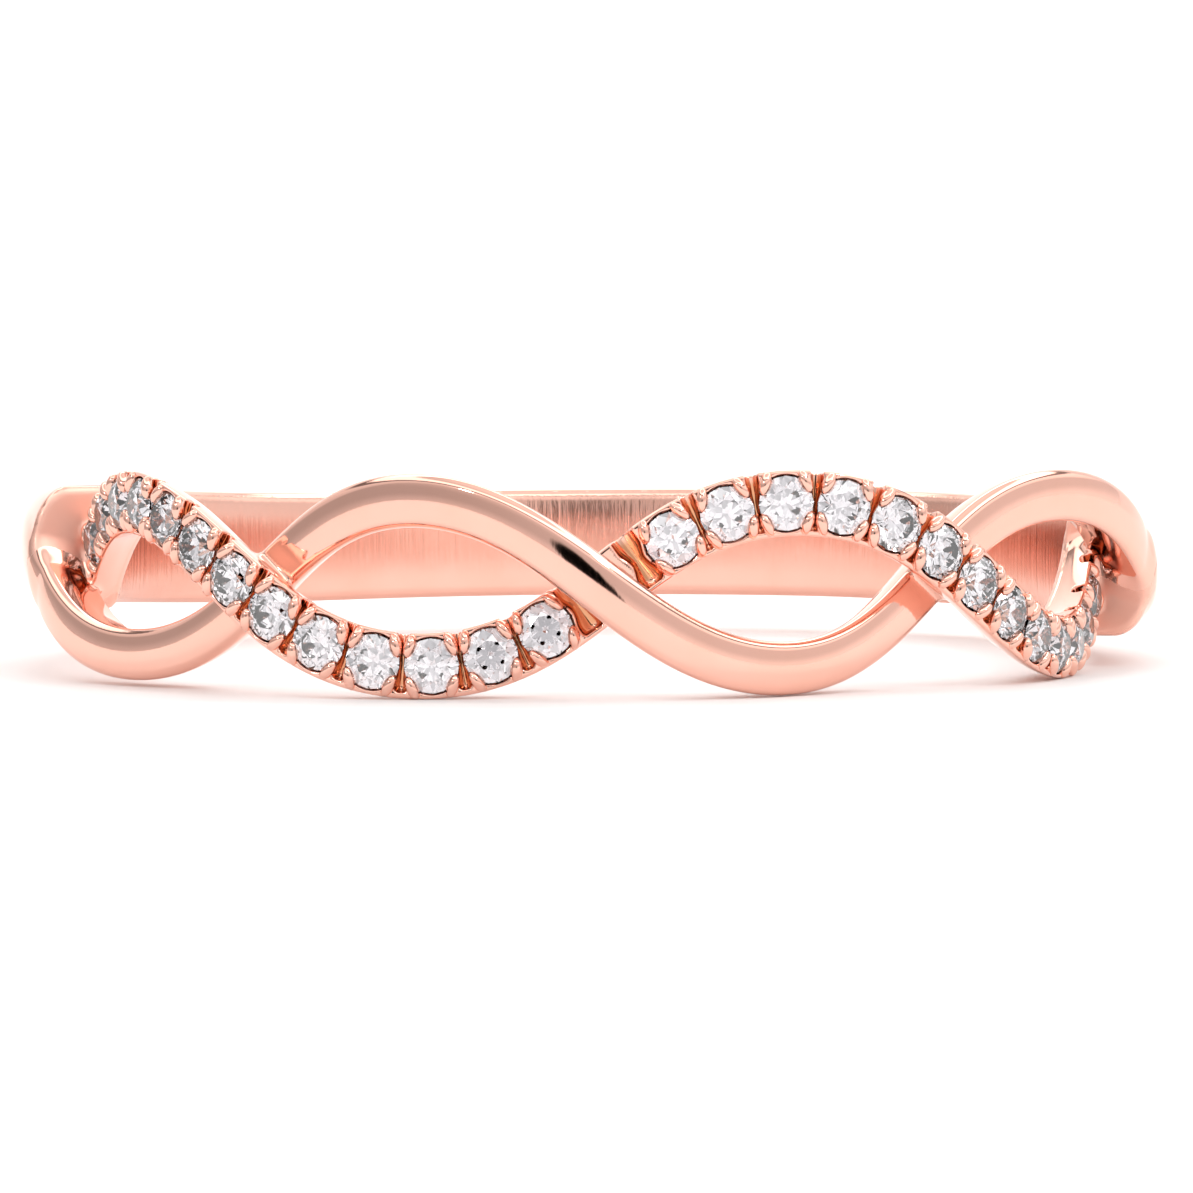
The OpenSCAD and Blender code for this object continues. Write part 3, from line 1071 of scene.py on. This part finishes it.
def add_floor(stage):
    """A floor that the ring rests on, swept up far behind it."""
    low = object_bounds()[0][2]
    near, far, side, rise = 0.5, 0.9, 1.2, 0.5
    bend = [(-near, 0)] + [
        (far - rise + rise * math.sin(a), rise - rise * math.cos(a)) for a in np.linspace(0, math.pi / 2, 13)
    ]
    bend.append((far, rise * 2))
    points = [(x, y, low + h) for y, h in bend for x in (-side, side)]
    faces = [(2 * i, 2 * i + 1, 2 * i + 3, 2 * i + 2) for i in range(len(bend) - 1)]
    mesh = bpy.data.meshes.new("floor")
    mesh.from_pydata(points, [], faces)
    mesh.shade_smooth()
    floor = new_object("floor", mesh)
    mesh.materials.append(floor_material(stage.floor))
    floor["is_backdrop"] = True


# Strength of the light at each height angle in degrees
SKY = {
    0: 0.9,
    9: 0.66,
    15: 0.66,
    25: 1.02,
    35: 1.15,
    39: 0.25,
    42: 0.25,
    46: 2.2,
    58: 2.2,
    64: 0.9,
    90: 1.1,
}
SKY_BRIGHTEST = 2.2
SKY_LEFT = 0.75
SKY_RIGHT = 1.35
# Degrees round the camera's direction, and half the width of the soft rim
LENS_REACH = 11.5
LENS_SOFT = 1.2


def add_sky(stage):
    """The light tent seen by its height angle: a dim horizon, a strip of light, a dark gap and a bright roof.

    The camera's dark lens looks in through the tent's wall.
    """
    world = bpy.data.worlds.new("light_tent")
    world.use_nodes = True
    tree = world.node_tree
    back = tree.nodes["Background"]
    toward = tree.nodes.new("ShaderNodeTexCoord").outputs["Generated"]
    parts = tree.nodes.new("ShaderNodeSeparateXYZ")
    tree.links.new(toward, parts.inputs[0])
    ramp = tree.nodes.new("ShaderNodeValToRGB")
    ramp.color_ramp.interpolation = "EASE"
    stops = ramp.color_ramp.elements
    for (angle, strength), stop in zip(SKY.items(), [*stops, *(stops.new(1) for _ in range(len(SKY) - 2))]):
        stop.position = math.sin(math.radians(angle))
        stop.color = (*(3 * [strength / SKY_BRIGHTEST]), 1)
    tree.links.new(parts.outputs["Z"], ramp.inputs["Fac"])
    lens = tree.nodes.new("ShaderNodeVectorMath")
    lens.operation = "DOT_PRODUCT"
    tree.links.new(toward, lens.inputs[0])
    lens.inputs[1].default_value = camera_turn(stage) @ camera_back(stage)
    rim, core = (math.cos(math.radians(LENS_REACH + side * LENS_SOFT)) for side in (1, -1))
    hidden = range_node(tree, lens.outputs["Value"], rim, core, 0, 1)
    path = tree.nodes.new("ShaderNodeLightPath").outputs
    outside = math_node(tree, "LESS_THAN", path["Transmission Depth"], 0.5)
    kept_out = math_node(tree, "MULTIPLY", hidden, outside)
    mirrored = math_node(tree, "MULTIPLY", kept_out, path["Is Glossy Ray"])
    sides = range_node(tree, parts.outputs["X"], -1, 1, SKY_LEFT * SKY_BRIGHTEST, SKY_RIGHT * SKY_BRIGHTEST)
    bright = math_node(tree, "MULTIPLY", math_node(tree, "SUBTRACT", 1, mirrored), sides)
    tree.links.new(ramp.outputs["Color"], back.inputs["Color"])
    tree.links.new(bright, back.inputs["Strength"])
    bpy.context.scene.world = world


# Operators, one for each piece or group of like pieces and one for the stage


def weave_of(context):
    scene = context.scene
    return Weave(scene.ring_sizes, scene.setting_sizes)


def gold_of(context):
    """The gold, made once and shared by all the metal."""
    found = bpy.data.materials.get("polished_rose_gold")
    return found or gold_material(context.scene.ring_looks, context.scene.ring_sizes.finger_d / 2)


def add_metal(context, name, lane):
    piece = metal_object(weave_of(context), name, lane)
    piece.data.materials.append(gold_of(context))
    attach(piece, BODY)
    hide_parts("band")


class RING_OT_plain_strand(bpy.types.Operator):
    """Make the polished strand, which runs on into the shank at both ends"""

    bl_idname = "ring.plain_strand"
    bl_label = "Plain strand"

    def execute(self, context):
        add_metal(context, "plain_strand", plain_lane)
        return {"FINISHED"}


class RING_OT_set_strand(bpy.types.Operator):
    """Make the strand that holds the stones, with its seats and grooves"""

    bl_idname = "ring.set_strand"
    bl_label = "Set strand"

    def execute(self, context):
        add_metal(context, "set_strand", set_lane)
        return {"FINISHED"}


class RING_OT_shank(bpy.types.Operator):
    """Make the plain band round the back"""

    bl_idname = "ring.shank"
    bl_label = "Shank"

    def execute(self, context):
        add_metal(context, "shank", shank_lane)
        return {"FINISHED"}


class RING_OT_prongs(bpy.types.Operator):
    """Make the prongs, four to a stone"""

    bl_idname = "ring.prongs"
    bl_label = "Prongs"

    def execute(self, context):
        setting = context.scene.setting_sizes
        tree, sizes = prong_tree(gold_of(context))
        values = {
            "Length": setting.prong_l * MM,
            "Width": setting.prong_w * MM,
            "Thickness": setting.prong_t * MM,
            "Sides": setting.prong_sides,
        }
        prongs = made_by_nodes("prongs", prong_points(weave_of(context)), tree, sizes, values)
        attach(prongs, BODY)
        return {"FINISHED"}


class RING_OT_stones(bpy.types.Operator):
    """Give the stones their clear, sparkling finish"""

    bl_idname = "ring.stones"
    bl_label = "Stones"

    def execute(self, context):
        clear = stone_material(context.scene.ring_looks)
        for name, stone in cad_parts.items():
            if not name.startswith("stone"):
                continue
            if not stone.material_slots:
                raise RuntimeError(f"{name} has no material slot")
            for slot in stone.material_slots:
                slot.material = clear
        return {"FINISHED"}


class RING_OT_stage(bpy.types.Operator):
    """Make the floor, the soft lights and the camera"""

    bl_idname = "ring.stage"
    bl_label = "Floor, lights and camera"

    def execute(self, context):
        stage = context.scene.stage_settings
        add_camera(stage)
        add_floor(stage)
        add_sky(stage)
        context.scene.view_settings.view_transform = "Standard"
        for name, (width, height, at, watts, toward) in LAMPS.items():
            add_lamp(name, width, height, at, watts * stage.light, toward)
        return {"FINISHED"}


class RING_PT_panel(bpy.types.Panel):
    """Sizes, looks and the steps that make the ring"""

    bl_idname = "RING_PT_panel"
    bl_label = "Infinity ring"
    bl_space_type = "VIEW_3D"
    bl_region_type = "UI"
    bl_category = "Ring"

    def draw(self, context):
        scene = context.scene
        for title, group in (
            ("Sizes", scene.ring_sizes),
            ("Setting", scene.setting_sizes),
            ("Looks", scene.ring_looks),
            ("Stage", scene.stage_settings),
        ):
            box = self.layout.box()
            box.label(text=title)
            for key in group.__annotations__:
                box.prop(group, key)
        for operator in STEPS:
            self.layout.operator(operator.bl_idname)


STEPS = (
    RING_OT_stage,
    RING_OT_shank,
    RING_OT_plain_strand,
    RING_OT_set_strand,
    RING_OT_prongs,
    RING_OT_stones,
)
GROUPS = {
    "ring_sizes": RingSizes,
    "setting_sizes": SettingSizes,
    "ring_looks": RingLooks,
    "stage_settings": StageSettings,
}


def register():
    for cls in (*GROUPS.values(), *STEPS, RING_PT_panel):
        bpy.utils.register_class(cls)
    for name, cls in GROUPS.items():
        setattr(bpy.types.Scene, name, bpy.props.PointerProperty(type=cls))


def unregister():
    for name in GROUPS:
        delattr(bpy.types.Scene, name)
    for cls in (RING_PT_panel, *STEPS, *GROUPS.values()):
        bpy.utils.unregister_class(cls)


def main():
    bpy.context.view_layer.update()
    register()
    bpy.ops.ring.stage()
    bpy.ops.ring.shank()
    bpy.ops.ring.plain_strand()
    bpy.ops.ring.set_strand()
    bpy.ops.ring.prongs()
    bpy.ops.ring.stones()


if __name__ == "__main__":
    main()
